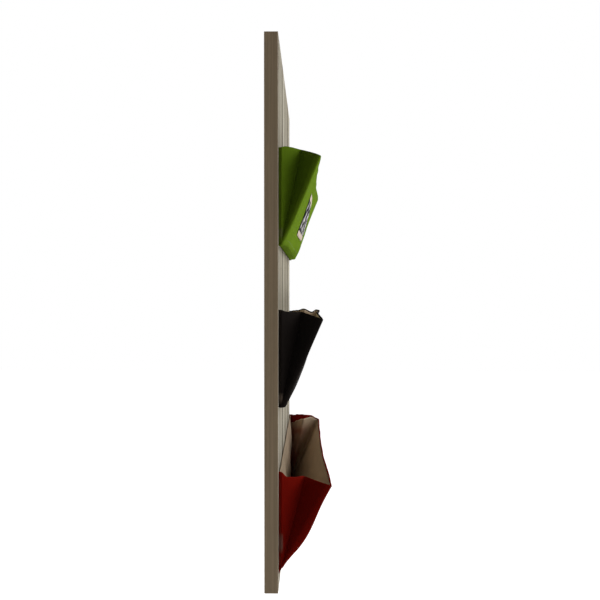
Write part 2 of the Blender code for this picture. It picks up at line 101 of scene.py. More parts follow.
# How the pockets differ. Pairs are for the left and the right side, and triples for the left, the
# middle and the right.
#   crease_shares: the crease's length as a share of the pocket's height
#   rim_sags: how far a gusset's rim hangs below straight lines, at RIM_STATIONS of its way from
#     the board to the front
#   hem_drop: how far the folded hem reaches down inside the gussets
#   foot_reaches, foot_depths: how far the front's foot reaches forwards from the hinge line, and
#     down from it
#   tip_drop, tip_blunt: how far the gussets' lower tips reach below the hinge line, and the share
#     of it left in front of the board
#   belly, belly_span: the front's swell, and where it begins and is full, from -1 to 1 across
#   edge_bellies: the swell at the front's side edges
#   back_swell: the swell of the back cloth
#   tint, behind: the cloth's colour, and the painted shade on the gussets' lining,
#     tinted with the cloth's colour as painted bounce light
#   worn_span, worn_share: the heights between which the folded edge by the board is rubbed pale,
#     and how pale it is
#   front_phase, back_phase: the start of the waves in the front and in the back cloth
POCKETS = {
    "green": dict(
        crease_shares=(1.055, 1.055),
        rim_sags=(
            (0.0, -0.0012, -0.0010, 0.0, 0.0, 0.0),
            (0.0, -0.0006, -0.0005, 0.0, 0.0, 0.0),
        ),
        hem_drop=0.0060,
        foot_reaches=(0.0022, 0.0072, 0.0070),
        foot_depths=(0.0030, 0.0016, 0.0012),
        tip_drop=0.0035,
        tip_blunt=0.9,
        belly=0.0060,
        belly_span=(-0.55, 0.70),
        edge_bellies=(0.0, 0.0),
        back_swell=0.0007,
        tint=(0.120, 0.205, 0.010),
        behind=(0.215, 0.225, 0.085),
        worn_span=(0.005, 0.018),
        worn_share=0.45,
        front_phase=0.0,
        back_phase=0.3,
    ),
    "black": dict(
        crease_shares=(1.020, 1.020),
        rim_sags=(
            (0.0, 0.0012, 0.0010, 0.0, 0.0, 0.0),
            (0.0115, 0.0100, 0.0088, 0.0050, 0.0068, 0.0),
        ),
        hem_drop=0.0012,
        foot_reaches=(0.0054, 0.0055, 0.0054),
        foot_depths=(0.0024, 0.0024, 0.0024),
        tip_drop=0.0019,
        tip_blunt=1.0,
        belly=0.0052,
        belly_span=(-1.6, -1.0),
        edge_bellies=(0.0, 0.0024),
        back_swell=0.0007,
        tint=(0.0170, 0.0135, 0.0120),
        behind=(0.170, 0.135, 0.100),
        worn_span=(0.003, 0.013),
        worn_share=0.85,
        front_phase=2.1,
        back_phase=1.7,
    ),
    "red": dict(
        crease_shares=(0.960, 1.020),
        rim_sags=(
            (0.0, 0.0040, 0.0031, 0.0, 0.0, 0.0),
            (0.0027, 0.0022, -0.0004, -0.0030, -0.0033, 0.0),
        ),
        hem_drop=0.0135,
        foot_reaches=(0.0018, 0.0045, 0.0018),
        foot_depths=(0.0018, 0.0036, 0.0018),
        tip_drop=0.0080,
        tip_blunt=0.35,
        belly=0.0040,
        belly_span=(-1.6, -1.0),
        edge_bellies=(0.0042, 0.0),
        back_swell=0.0021,
        tint=(0.220, 0.0070, 0.0030),
        behind=(0.300, 0.048, 0.026),
        worn_span=(0.016, 0.037),
        worn_share=0.62,
        front_phase=4.4,
        back_phase=3.0,
    ),
}

# The front's form
FRONT_FACE = 0.004
FOOT_BACK_REACH = 0.0045
FOOT_RISE_SHARE = 0.30
FOOT_ROLL_END = math.radians(118)
BELLY_TOP_SHARE = 0.77
BELLY_SKEW_SHARE = 0.617
EDGE_BELLY_SKEW_SHARE = 0.82
RIM_DIP = 0.0042
RIPPLE = 0.0004

# The gussets' form
GUSSET_SLACK = math.radians(10)
CREASE_ROUND = 0.030
LEAF_SWELL = 0.0012
CORNER_START = 0.94
CORNER_REACH = 0.0035
TIP_SHARE = 0.008

# Outer cloth, its flange on the board and the groove at the seam
CLOTH = 0.00055
RIM_ROLL = 0.0005
RIM_TUCK = 0.0008
RIM_TURNS = 5
FLANGE = 0.010
FLANGE_LIFT = 0.00035
FLANGE_TOP_DROP = 0.0032
FLANGE_ROLL = 0.00005
FLANGE_SHARES = (1.0, 0.6, 0.25, 0.08)
SEAM_GROOVE = 0.0016
# Each step of the groove: its share of the way from the flange to the hinge line, and its depth
SEAM_STEPS = ((0.12, 0.6), (0.5, 1.0))
# The patch rubbed pale: how softly it ends, how far it reaches forwards and inwards, and its blur
WORN_END = 0.003
WORN_REACH = 0.0020
WORN_OUTER = 0.0040
WORN_BLUR = 0.0010

# Lining of the front and the gussets
LINING = 0.0005
LINING_INSET = 0.00085
LINING_DROP = 0.0010
LINING_FOOT_SHARE = 0.35
LINING_TIP_SHARE = 0.062
LINING_TIP_RUN = 0.25
HEM_END_TURN = 0.8
# Strength of the painted shade on the gussets' lining, which is tinted as painted bounce light from
# the cloth
GUSSET_SHADE_STRENGTH = 0.92
# Where the painted shade lies on that lining: below a share of the height, and before a share of
# the front's turn, each with the run over which it starts, and the least that is left on the front
GUSSET_SHADE_TOP = 0.93
GUSSET_SHADE_TOP_RUN = 0.18
GUSSET_SHADE_FRONT = 0.85
GUSSET_SHADE_FRONT_RUN = 0.35
GUSSET_SHADE_LEAST = 0.06

# Back cloth and binding tape
BACK_CLOTH = 0.0007
BACK_CLOTH_LIFT = 0.0012
BACK_CLOTH_RISE = 0.001
BACK_CLOTH_INSET = 0.0012
BACK_CLOTH_DROP = 0.0007
BACK_CLOTH_WAVE = 0.0004
TAPE_INSET = 0.0010
TAPE_LEAST_RADIUS = 0.0004
TAPE_FLANGE = 0.008
TAPE_END_SHARE = 0.004
TAPE_ROLL_START = math.radians(50)

STITCH_LENGTH = 0.0022
STITCH_PITCH = 0.0034
STITCH_RADIUS = 0.00022
RIM_STITCH_DROP = 0.0052
FOOT_STITCH_RISE = 0.0050

LABEL_HALF_SIZE = (0.050, 0.028)
LABEL_CORNER = 0.0025
LABEL_THICKNESS = 0.0006
LABEL_LIFT = 0.00012
LABEL_FIELD_HALF_SIZE = (0.0486, 0.0208)
LABEL_PRINT_BLUR = 0.0002
LABEL_DIAMOND = 0.0096

# Fineness of the meshes
GUSSET_COLUMNS = 47
CORNER_COLUMNS = 8
FRONT_COLUMNS = 72
ROWS = 30
FOOT_ROWS = 9
BACK_CLOTH_GRID = (80, 24)
TAPE_COLUMNS = 72
TAPE_ROWS = 8
LABEL_GRID = (40, 24)

PLANK_WIDTH = 0.093
PLANK_START = 0.0077
# Where the painted highlight along the edge band's front begins and is full
BAND_HIGHLIGHT = (-0.01462, -0.01478)

# Weaves: the thread's pitch and the contrast
OUTER_WEAVE = (0.0009, 0.16)
LINING_WEAVE = (0.0010, 0.12)
BEIGE = (0.430, 0.335, 0.235)
# Same beige as the back cloth, painted lighter on the front lining as painted light inside the
# pocket
FRONT_LINING_PAINTED_LIGHT = 1.28
BACK_LINING_TONE = 0.84
WORN = (0.205, 0.155, 0.118)
TAUPE = (0.418, 0.310, 0.194)
# Colour of the painted highlight along the edge bands' front edges
HIGHLIGHT_TAUPE = (0.620, 0.590, 0.520)


# Shader helpers

class Graph:
    """A node tree with short ways to build in it. Values are sockets, numbers or colours."""

    def __init__(self, tree):
        self.nodes, self.links = tree.nodes, tree.links

    def feed(self, socket, value):
        if isinstance(value, bpy.types.NodeSocket):
            self.links.new(value, socket)
        elif socket.type == "RGBA":
            socket.default_value = (*value, 1.0)
        else:
            socket.default_value = value

    def add(self, kind, inputs=(), **settings):
        """A new node with its settings, and its inputs fed by name or by number."""
        made = self.nodes.new(kind)
        for name, value in settings.items():
            setattr(made, name, value)
        for key, value in dict(inputs).items():
            self.feed(made.inputs[key], value)
        return made

    def calc(self, operation, *values):
        return self.add("ShaderNodeMath", enumerate(values), operation=operation).outputs[0]

    def mix(self, factor, first, second):
        inputs = {0: factor, 6: first, 7: second}
        return self.add("ShaderNodeMix", inputs, data_type="RGBA").outputs[2]

    def ramp(self, source, low, high, low_value=0.0, high_value=1.0):
        """A smooth step as the source goes from low to high."""
        made = self.add("ShaderNodeMapRange", {"Value": source}, interpolation_type="SMOOTHSTEP")
        self.feed(made.inputs["From Min"], low)
        self.feed(made.inputs["From Max"], high)
        self.feed(made.inputs["To Min"], low_value)
        self.feed(made.inputs["To Max"], high_value)
        return made.outputs[0]

    def over(self, base, colour, source, low, high, low_value=0.0, high_value=1.0):
        """A colour laid over a base by the smooth step of a source."""
        return self.mix(self.ramp(source, low, high, low_value, high_value), base, colour)

    def stretch(self, source, scale):
        """Coordinates stretched by a scale on each axis."""
        return self.add("ShaderNodeMapping", {"Vector": source, "Scale": scale}).outputs[0]

    def cloud(self, source, scale, detail=4.0, distortion=0.0):
        inputs = {"Vector": source, "Scale": scale, "Detail": detail, "Distortion": distortion}
        return self.add("ShaderNodeTexNoise", inputs).outputs["Fac"]

    def streaks(self, source, scale, detail=4.0, distortion=0.0):
        """Noise with its own scale on each axis."""
        return self.cloud(self.stretch(source, scale), 1.0, detail, distortion)

    def split(self, source):
        return self.add("ShaderNodeSeparateXYZ", {0: source}).outputs

    def place(self):
        return self.add("ShaderNodeTexCoord").outputs["Object"]

    def attribute(self, name, output):
        return self.add("ShaderNodeAttribute", attribute_name=name).outputs[output]


class Paint(Graph):
    """A new material on the Principled shader."""

    def __init__(self, name, colour, roughness, specular=0.5, metallic=0.0):
        self.material = bpy.data.materials.new(name)
        self.material.use_nodes = True
        super().__init__(self.material.node_tree)
        self.shader = self.nodes["Principled BSDF"]
        for socket, value in (
            ("Base Color", colour),
            ("Roughness", roughness),
            ("Specular IOR Level", specular),
            ("Metallic", metallic),
        ):
            self.feed(self.shader.inputs[socket], value)

    def colour(self, base):
        self.feed(self.shader.inputs["Base Color"], base)

    def bump(self, height, strength, distance):
        inputs = {"Height": height, "Strength": strength, "Distance": distance}
        self.feed(self.shader.inputs["Normal"], self.add("ShaderNodeBump", inputs).outputs[0])


def tone(colour, factor):
    return tuple(min(1.0, c * factor) for c in colour)


# Materials

def cloth_material(name, colour, weave, second=None, where=None):
    """Plain weave, drawn in the cloth's own flat coordinates, which the mesh carries in metres.

    The second colour is laid on where the mesh's attribute named in where is above 0: pale wear on
    the outer cloth, and painted shade with a painted bounce tint on the lining.
    """
    pitch, contrast = weave
    paint = Paint(name, colour, 0.95, specular=0.02)
    flat = paint.attribute("flat", "Vector")
    x, y, _ = paint.split(flat)
    turns = 2 * math.pi / pitch
    warp, weft = (paint.calc("SINE", paint.calc("MULTIPLY", way, turns)) for way in (x, y))
    threads = paint.calc("MULTIPLY", warp, weft)
    slub_x = paint.streaks(flat, (60.0, 1400.0, 1.0))
    slub_y = paint.streaks(flat, (1400.0, 60.0, 1.0))
    slub = paint.calc("ADD", slub_x, slub_y)
    patch = paint.cloud(flat, 22.0, 5.0)
    shade = paint.calc("MULTIPLY_ADD", slub, 0.35, paint.calc("MULTIPLY", patch, 0.35))
    shade = paint.calc("MULTIPLY_ADD", threads, 0.10, shade)
    dark, light = tone(colour, 1.0 - contrast), tone(colour, 1.0 + contrast)
    base = paint.over(dark, light, shade, 0.30, 0.75)
    # Second colour: pale wear on the outer cloth, painted shade with a bounce tint on the lining
    if second is not None:
        uneven = paint.ramp(patch, 0.30, 0.70, 0.35, 1.0)
        mask = paint.calc("MULTIPLY", paint.attribute(where, "Fac"), uneven)
        base = paint.mix(mask, base, second)
    paint.colour(base)
    paint.bump(paint.calc("MULTIPLY_ADD", slub, 0.8, threads), 0.35, 0.00012)
    return paint.material


def thread_material(name, colour):
    paint = Paint(name, colour, 0.6)
    twist = paint.cloud(paint.place(), 2500.0)
    paint.colour(paint.mix(twist, tone(colour, 0.75), tone(colour, 1.2)))
    return paint.material


def plank_material():
    """A matt print of pale weathered planks that run up the board, with dark joints and grain."""
    paint = Paint("weathered_print", (0.40, 0.37, 0.31), 0.85, specular=0.0)
    place = paint.place()
    run = paint.calc("ADD", paint.split(place)[0], 10 * PLANK_WIDTH - PLANK_START)
    turns = paint.calc("DIVIDE", run, PLANK_WIDTH)
    number = paint.calc("FLOOR", turns)
    toss = paint.add("ShaderNodeTexWhiteNoise", {"W": number}, noise_dimensions="1D")
    shift = {0: toss.outputs["Color"], 1: (3.0, 3.0, 3.0), 2: place}
    moved = paint.add("ShaderNodeVectorMath", shift, operation="MULTIPLY_ADD").outputs[0]

    grain = paint.streaks(moved, (300.0, 1.0, 9.0), 8.0, 0.6)
    streak = paint.streaks(moved, (90.0, 1.0, 2.2), 5.0, 1.2)
    wear = paint.streaks(moved, (26.0, 1.0, 5.0), 6.0, 0.8)
    fine = paint.streaks(moved, (900.0, 1.0, 60.0), 3.0)
    saw = paint.streaks(moved, (16.0, 1.0, 210.0), 4.0, 0.8)
    base = paint.over((0.485, 0.450, 0.356), (0.690, 0.665, 0.560), wear, 0.35, 0.68)
    base = paint.over(base, (0.180, 0.148, 0.108), streak, 0.48, 0.62, 0.0, 0.70)
    base = paint.over(base, (0.105, 0.084, 0.062), grain, 0.52, 0.62, 0.0, 0.75)
    base = paint.over(base, (0.580, 0.550, 0.480), grain, 0.30, 0.44, 0.60, 0.0)
    base = paint.over(base, (0.250, 0.215, 0.165), toss.outputs["Value"], 0.0, 1.0, 0.0, 0.50)
    base = paint.over(base, (0.20, 0.17, 0.13), fine, 0.45, 0.75, 0.0, 0.25)
    base = paint.over(base, (0.190, 0.165, 0.125), saw, 0.50, 0.70, 0.0, 0.14)

    # The planks are darker towards their joints, more so at every other joint
    within = paint.calc("FRACT", turns)
    to_joint = paint.calc("ABSOLUTE", paint.calc("SUBTRACT", within, 0.5))
    uneven = paint.calc("MULTIPLY_ADD", paint.calc("SUBTRACT", wear, 0.5), 0.4, to_joint)
    nearest = paint.calc("FLOOR", paint.calc("ADD", turns, 0.5))
    other = paint.calc("MODULO", nearest, 2.0)
    rising = paint.ramp(nearest, 9.0, 11.0, 0.52, 0.78)
    dirt = paint.calc("MULTIPLY_ADD", other, rising, 0.22)
    shade = paint.calc("MULTIPLY", paint.ramp(uneven, 0.36, 0.44), dirt)
    base = paint.mix(shade, base, (0.060, 0.047, 0.034))
    wander = paint.calc("MULTIPLY", paint.calc("SUBTRACT", streak, 0.5), 0.010)
    joint = paint.ramp(paint.calc("ADD", to_joint, wander), 0.482, 0.492)
    paint.colour(paint.mix(joint, base, (0.030, 0.024, 0.018)))
    paint.bump(paint.calc("MULTIPLY_ADD", joint, -2.0, grain), 0.25, 0.0003)
    return paint.material


def band_material(name, along):
    """Taupe edge band with a faint grain along its length, and a painted highlight along its front.
    """
    paint = Paint(name, TAUPE, 0.55, specular=0.3)
    place = paint.place()
    scale = tuple(7.0 if axis == along else 420.0 for axis in range(3))
    grain = paint.streaks(place, scale, 6.0, 0.4)
    broad = paint.cloud(place, 14.0)
    base = paint.over(tone(TAUPE, 0.88), tone(TAUPE, 1.12), grain, 0.35, 0.70)
    base = paint.over(base, tone(TAUPE, 1.08), broad, 0.35, 0.70, 0.0, 0.35)
    # A painted highlight along the band's front edge
    paint.colour(paint.over(base, HIGHLIGHT_TAUPE, paint.split(place)[1], *BAND_HIGHLIGHT, 0.0, 0.40))
    paint.bump(grain, 0.12, 0.0002)
    return paint.material


def fibreboard_material():
    paint = Paint("raw_fibreboard", (0.36, 0.25, 0.15), 0.8, specular=0.2)
    place = paint.place()
    fibre = paint.cloud(place, 420.0, 8.0)
    broad = paint.cloud(place, 9.0, 5.0, 0.5)
    speck = paint.cloud(place, 1500.0, 2.0)
    base = paint.over((0.290, 0.192, 0.108), (0.430, 0.312, 0.196), fibre, 0.35, 0.65)
    base = paint.over(base, (0.330, 0.232, 0.142), broad, 0.35, 0.65, 0.0, 0.4)
    paint.colour(paint.over(base, (0.12, 0.075, 0.04), speck, 0.66, 0.74, 0.0, 0.6))
    paint.bump(fibre, 0.2, 0.0002)
    return paint.material


def steel_material():
    paint = Paint("zinc_steel", (0.30, 0.30, 0.31), 0.50, metallic=1.0)
    place = paint.place()
    spangle = paint.cloud(place, 260.0, 5.0)
    scratch = paint.streaks(place, (2400.0, 2400.0, 90.0))
    paint.colour(paint.mix(spangle, (0.225, 0.230, 0.240), (0.360, 0.360, 0.355)))
    paint.feed(paint.shader.inputs["Roughness"], paint.ramp(scratch, 0.3, 0.7, 0.42, 0.60))
    paint.bump(scratch, 0.08, 0.0001)
    return paint.material


def lacquer_material():
    """Beige lacquer on the tack heads, a little worn."""
    paint = Paint("beige_lacquer", BEIGE, 0.7, specular=0.15)
    wear = paint.cloud(paint.place(), 700.0)
    paint.colour(paint.mix(wear, tone(BEIGE, 0.84), tone(BEIGE, 1.10)))
    paint.bump(wear, 0.08, 0.0001)
    return paint.material


def label_material():
    """A printed card: pale bands at top and bottom, and small diamonds in black, grey and white."""
    paint = Paint("label_print", (0.62, 0.53, 0.43), 0.8, specular=0.02)
    flat = paint.attribute("flat", "Vector")
    x, z, _ = paint.split(flat)
    slants = [paint.calc(way, x, z) for way in ("ADD", "SUBTRACT")]
    tiles = [paint.calc("FLOOR", paint.calc("DIVIDE", way, LABEL_DIAMOND)) for way in slants]
    cell = paint.add("ShaderNodeCombineXYZ", enumerate(tiles)).outputs[0]
    toss = paint.add("ShaderNodeTexWhiteNoise", {"Vector": cell}, noise_dimensions="3D")
    value = toss.outputs["Value"]
    field = paint.over((0.006, 0.006, 0.008), (0.190, 0.180, 0.185), value, 0.38, 0.40)
    field = paint.over(field, (0.62, 0.60, 0.59), value, 0.66, 0.68)
    paper = paint.cloud(flat, 180.0)
    pale = paint.mix(paper, (0.55, 0.44, 0.35), (0.68, 0.58, 0.49))
    side, band = LABEL_FIELD_HALF_SIZE
    to_side, to_band = (paint.calc("ABSOLUTE", way) for way in (x, z))
    base = paint.over(field, pale, to_band, band, band + LABEL_PRINT_BLUR)
    paint.colour(paint.over(base, (0.020, 0.016, 0.014), to_side, side, side + LABEL_PRINT_BLUR))
    paint.bump(paper, 0.05, 0.0001)
    return paint.material


# Facts of each pocket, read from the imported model

def joint_named(name):
    return next(joint for joint in frame["joints"] if joint["name"] == name)


def facts_of(colour):
    low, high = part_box(f"{colour}_back_panel")
    hinge = Vector(joint_named(f"{colour}_front_fold")["pos_m"])
    height = high[2] - hinge.z
    openings = []
    for side in SIDES:
        axis = joint_named(f"{colour}_front_leaf_fold_{side}")["axis"]
        openings.append(math.atan2(-axis[1], axis[2]))
    return SimpleNamespace(
        colour=colour,
        hinge=hinge,
        half=high[0],
        height=height,
        openings=openings,
        creases=[share * height for share in POCKETS[colour]["crease_shares"]],
        board_face=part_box("face_sheet")[0][1],
        **POCKETS[colour],
    )


# Forms of the front

def smooth(share):
    share = min(1.0, max(0.0, share))
    return share * share * (3 - 2 * share)


def between(values, across):
    """A value across the pocket from its values at the left, in the middle and at the right."""
    left, middle, right = values
    side = 2 * across - 1
    end = left if side < 0 else right
    return end + (middle - end) * (1 - abs(side) ** 8)


def ripple(pocket, across, up):
    """Small soft waves in a front, still at its seams."""
    phase = pocket.front_phase
    waves = (
        math.sin(11.0 * across + 3.1 * up + phase)
        + 0.6 * math.sin(23.0 * across - 5.0 * up + 2 * phase)
        + 0.35 * math.sin(41.0 * across + 9.0 * up + 3 * phase)
    )
    still = (1 - (2 * across - 1) ** 6) * min(1.0, 6 * up)
    return RIPPLE * waves * still * (0.45 + 0.55 * up)


def front_axes(pocket, across):
    """The point on the hinge line, the ways up the front and outwards, and the opening."""
    left, right = pocket.openings
    angle = left + (right - left) * across
    along = Vector((0.0, -math.sin(angle), math.cos(angle)))
    outwards = Vector((0.0, -math.cos(angle), -math.sin(angle)))
    start = pocket.hinge + Vector(((across - 0.5) * 2 * pocket.half, 0.0, 0.0))
    return start, along, outwards, angle


def foot_sizes(pocket, across):
    """How far the front's foot stands off the hinge line, and how flat it is below."""
    reach = between(pocket.foot_reaches, across)
    depth = between(pocket.foot_depths, across)
    return reach, depth / reach


def front_place(pocket, across, up, inset=0.0):
    """A point of the front, by shares across and up, at a distance inwards from its outer face."""
    start, along, outwards, _ = front_axes(pocket, across)
    side = 2 * across - 1
    foot, flat = foot_sizes(pocket, across)
    out = foot + (FRONT_FACE - foot) * smooth(up / FOOT_RISE_SHARE)
    flat += (1 - flat) * smooth(up / FOOT_RISE_SHARE)
    if 0 < up < BELLY_TOP_SHARE:
        swell = math.sin(math.pi * (up / BELLY_TOP_SHARE) ** BELLY_SKEW_SHARE)
        begins, full = pocket.belly_span
        out += pocket.belly * swell * (1 - side**4) * smooth((side - begins) / (full - begins))
    if 0 < up < 1:
        kink = math.sin(math.pi * up**EDGE_BELLY_SKEW_SHARE) ** 3
        out += pocket.edge_bellies[side > 0] * side**8 * kink
    out -= RIM_DIP * up**3 * (1 - side**2) ** 2
    out += ripple(pocket, across, up)
    stand = outwards * (out - inset)
    stand.z *= flat
    return start + along * (up * pocket.height) + stand


def foot_place(pocket, across, turn, inset=0.0):
    """A point of the foot, which rolls under the hinge line from the front towards the board."""
    start, _, _, angle = front_axes(pocket, across)
    reach, flat = foot_sizes(pocket, across)
    turned = angle + turn * (FOOT_ROLL_END - angle)
    ahead = reach if turned < math.pi / 2 else FOOT_BACK_REACH
    y = -(ahead - inset) * math.cos(turned)
    return start + Vector((0.0, y, -(reach * flat - inset * flat) * math.sin(turned)))


# Forms of the gussets

def inwards_from(side):
    return 1.0 if side == "left" else -1.0


def rim_sag(pocket, side, t):
    sags = pocket.rim_sags[SIDES.index(side)]
    last = len(RIM_STATIONS) - 1
    after = next(i for i in range(1, last + 1) if t <= RIM_STATIONS[i] or i == last)
    start, end = RIM_STATIONS[after - 1], RIM_STATIONS[after]
    return sags[after - 1] + (sags[after] - sags[after - 1]) * smooth((t - start) / (end - start))


def gusset_rim(pocket, side, t):
    """The gusset's rim from its lower corner, for t from 0 at the board to 1 at the front."""
    opening = pocket.openings[SIDES.index(side)]
    leaf = (opening + GUSSET_SLACK) / 2
    tilt = math.acos(math.cos(leaf) / math.cos(opening / 2))
    swing = math.atan2(math.cos(tilt) * math.sin(opening / 2), math.sin(tilt))
    inwards = inwards_from(side)
    back = Vector((0.0, 0.0, pocket.height))
    crease = Vector(
        (
            inwards * math.cos(swing) * math.sin(leaf),
            -math.sin(swing) * math.sin(leaf),
            math.cos(leaf),
        )
    ) * pocket.creases[SIDES.index(side)]
    front = Vector((0.0, -math.sin(opening), math.cos(opening))) * pocket.height

    def straight(s):
        return back.lerp(crease, 2 * s) if s < 0.5 else crease.lerp(front, 2 * s - 1)

    if abs(t - 0.5) < CREASE_ROUND:
        s = (t - 0.5 + CREASE_ROUND) / (2 * CREASE_ROUND)
        start, end = straight(0.5 - CREASE_ROUND), straight(0.5 + CREASE_ROUND)
        place = start * (1 - s) ** 2 + crease * (2 * s * (1 - s)) + end * s**2
    else:
        place = straight(t)
    swell = LEAF_SWELL * abs(math.sin(2 * math.pi * t))
    return place + Vector((-inwards * swell, 0.0, -rim_sag(pocket, side, t)))


def gusset_place(pocket, side, t, up):
    corner = pocket.hinge + Vector((-inwards_from(side) * pocket.half, 0.0, 0.0))
    return corner + gusset_rim(pocket, side, t) * up


def gusset_weight(pocket, side, t):
    """How far a gusset's ray turns with the front: 0 at the board and 1 at the front."""
    rim = gusset_rim(pocket, side, t)
    return min(1.0, max(0.0, math.atan2(-rim.y, rim.z) / pocket.openings[SIDES.index(side)]))


# Columns of a pocket's wall. Each has its place by height, its share of the front's turn, its
# lowest share of the height and its foot

def column(pocket, side, place, weight, low, fall):
    """A column of a side, whose foot falls by a share of the tip's drop."""
    end = SIDES.index(side)
    still = Vector((0.0, 0.0, -pocket.tip_drop * fall))

    def foot(turn):
        rolled = foot_place(pocket, end, turn, CLOTH / 2) - foot_place(pocket, end, 0.0, CLOTH / 2)
        return place(low) + still * ((1 - weight) * math.sin(turn * math.pi / 2)) + rolled * weight

    return SimpleNamespace(place=place, weight=weight, low=low, foot=foot)


def lining_column(strip, share):
    """A column of the lining, which stops above the gussets' tips and rolls under at the front."""
    low = LINING_TIP_SHARE * share

    def foot(turn):
        if share == 0:
            return strip.foot(turn)
        return strip.place(low * (1 - LINING_TIP_RUN * turn))

    return SimpleNamespace(place=strip.place, weight=strip.weight, low=low, foot=foot)


def front_column(pocket, across):
    return SimpleNamespace(
        place=lambda up: front_place(pocket, across, up, CLOTH / 2),
        weight=1.0,
        low=0.0,
        foot=lambda turn: foot_place(pocket, across, turn, CLOTH / 2),
    )


def side_columns(pocket, side):
    """Columns of one side, from the flange on the board to the front."""
    inwards = inwards_from(side)
    edge_x = -inwards * pocket.half
    flange_y = pocket.board_face - FLANGE_LIFT
    top = pocket.height - rim_sag(pocket, side, 0.0)

    def upright(x, y, drop=0.0):
        return lambda up: Vector((x, y, pocket.hinge.z + up * (top - drop)))

    columns = []
    for share in FLANGE_SHARES:
        drop = FLANGE_TOP_DROP * min(1.0, 4 * share)
        place = upright(edge_x + inwards * FLANGE * share, flange_y, drop)
        columns.append(column(pocket, side, place, 0.0, TIP_SHARE, 1.0 - share))
    for share, groove in SEAM_STEPS:
        y = flange_y + (pocket.hinge.y - flange_y) * share
        place = upright(edge_x + inwards * SEAM_GROOVE * groove, y)
        fall = 1.0 + (pocket.tip_blunt - 1.0) * share
        columns.append(column(pocket, side, place, 0.0, TIP_SHARE, fall))
    for i in range(GUSSET_COLUMNS + 1):
        t = CORNER_START * i / GUSSET_COLUMNS
        weight = gusset_weight(pocket, side, t)
        place = lambda up, t=t: gusset_place(pocket, side, t, up)
        columns.append(column(pocket, side, place, weight, TIP_SHARE, pocket.tip_blunt))

    reach = CORNER_REACH / (2 * pocket.half)
    across_corner, across_end = (0.0, reach) if side == "left" else (1.0, 1.0 - reach)

    def corner(s):
        def place(up):
            start = gusset_place(pocket, side, CORNER_START, up)
            middle = front_place(pocket, across_corner, up, CLOTH / 2)
            end = front_place(pocket, across_end, up, CLOTH / 2)
            return start * (1 - s) ** 2 + middle * (2 * s * (1 - s)) + end * s**2

        return place

    first_weight = gusset_weight(pocket, side, CORNER_START)
    for i in range(1, CORNER_COLUMNS):
        s = i / CORNER_COLUMNS
        weight = first_weight + (1 - first_weight) * s
        low = TIP_SHARE * (1 - s)
        columns.append(column(pocket, side, corner(s), weight, low, pocket.tip_blunt))
    return columns


def pocket_columns(pocket):
    """All columns round the pocket, from the flange at the left to the flange at the right."""
    reach = CORNER_REACH / (2 * pocket.half)
    steps = [i / FRONT_COLUMNS for i in range(FRONT_COLUMNS + 1)]
    fronts = [front_column(pocket, reach + (1 - 2 * reach) * step) for step in steps]
    return side_columns(pocket, "left") + fronts + side_columns(pocket, "right")[::-1]


# Sheets from grids of points

def wall_grid(columns, tops, foot_end):
    """Points of the pocket's wall, from its foot's end up to a top share for each column."""
    rows = FOOT_ROWS + ROWS + 1
    grid = np.zeros((len(columns), rows, 3))
    for c, (strip, top) in enumerate(zip(columns, tops)):
        for r in range(FOOT_ROWS):
            grid[c, r] = strip.foot(foot_end * (FOOT_ROWS - r) / FOOT_ROWS)
        for r in range(ROWS + 1):
            grid[c, FOOT_ROWS + r] = strip.place(strip.low + (top - strip.low) * r / ROWS)
    return grid


def unit(vectors):
    return vectors / np.maximum(np.linalg.norm(vectors, axis=2, keepdims=True), 1e-12)


def grid_normals(grid):
    """Outward unit normals and upward unit tangents of a wall grid."""
    upward = np.gradient(grid, axis=1)
    return unit(np.cross(np.gradient(grid, axis=0), upward)), unit(upward)


def new_piece(name, mesh, material):
    mesh.shade_smooth()
    mesh.materials.append(material)
    piece = bpy.data.objects.new(name, mesh)
    bpy.context.scene.collection.objects.link(piece)
    return piece


def thicken(piece, thickness, offset):
    skin = piece.modifiers.new("skin", "SOLIDIFY")
    skin.thickness = thickness
    skin.offset = offset


def grid_object(name, grid, material, thickness, weights=None):
    """A sheet over a grid of points, with its flat coordinates in metres, its area and its size."""
    columns, rows = grid.shape[:2]
    index = np.arange(columns * rows).reshape(columns, rows)
    corners = [index[:-1, :-1], index[1:, :-1], index[1:, 1:], index[:-1, 1:]]
    quads = np.stack(corners, axis=-1).reshape(-1, 4)
    mesh = bpy.data.meshes.new(name)
    mesh.from_pydata(grid.reshape(-1, 3).tolist(), [], quads.tolist())
    steps_x = np.linalg.norm(np.diff(grid, axis=0), axis=2).mean(axis=1)
    steps_y = np.linalg.norm(np.diff(grid, axis=1), axis=2).max(axis=0)
    flat = np.zeros((columns, rows, 3))
    flat[:, :, 0] = np.concatenate([[0.0], np.cumsum(steps_x)])[:, None]
    flat[:, :, 1] = np.concatenate([[0.0], np.cumsum(steps_y)])[None, :]
    flat[:, :, 0] -= flat[-1, 0, 0] / 2
    attribute = mesh.attributes.new("flat", "FLOAT_VECTOR", "POINT")
    attribute.data.foreach_set("vector", flat.reshape(-1).astype(np.float32))
    if weights is not None:
        shares = mesh.attributes.new("turn_share", "FLOAT", "POINT")
        shares.data.foreach_set("value", np.repeat(weights, rows).astype(np.float32))
    piece = new_piece(name, mesh, material)
    area = sum(face.area for face in mesh.polygons)
    thicken(piece, thickness, 0.0)
    return piece, area, (flat[-1, 0, 0] - flat[0, 0, 0], flat[0, -1, 1])


def apply_modifiers(piece):
    with bpy.context.temp_override(object=piece, active_object=piece, selected_objects=[piece]):
        for modifier in list(piece.modifiers):
            bpy.ops.object.modifier_apply(modifier=modifier.name)


def turn_shares(piece):
    shares = np.zeros(len(piece.data.vertices), np.float32)
    piece.data.attributes["turn_share"].data.foreach_get("value", shares)
    return shares


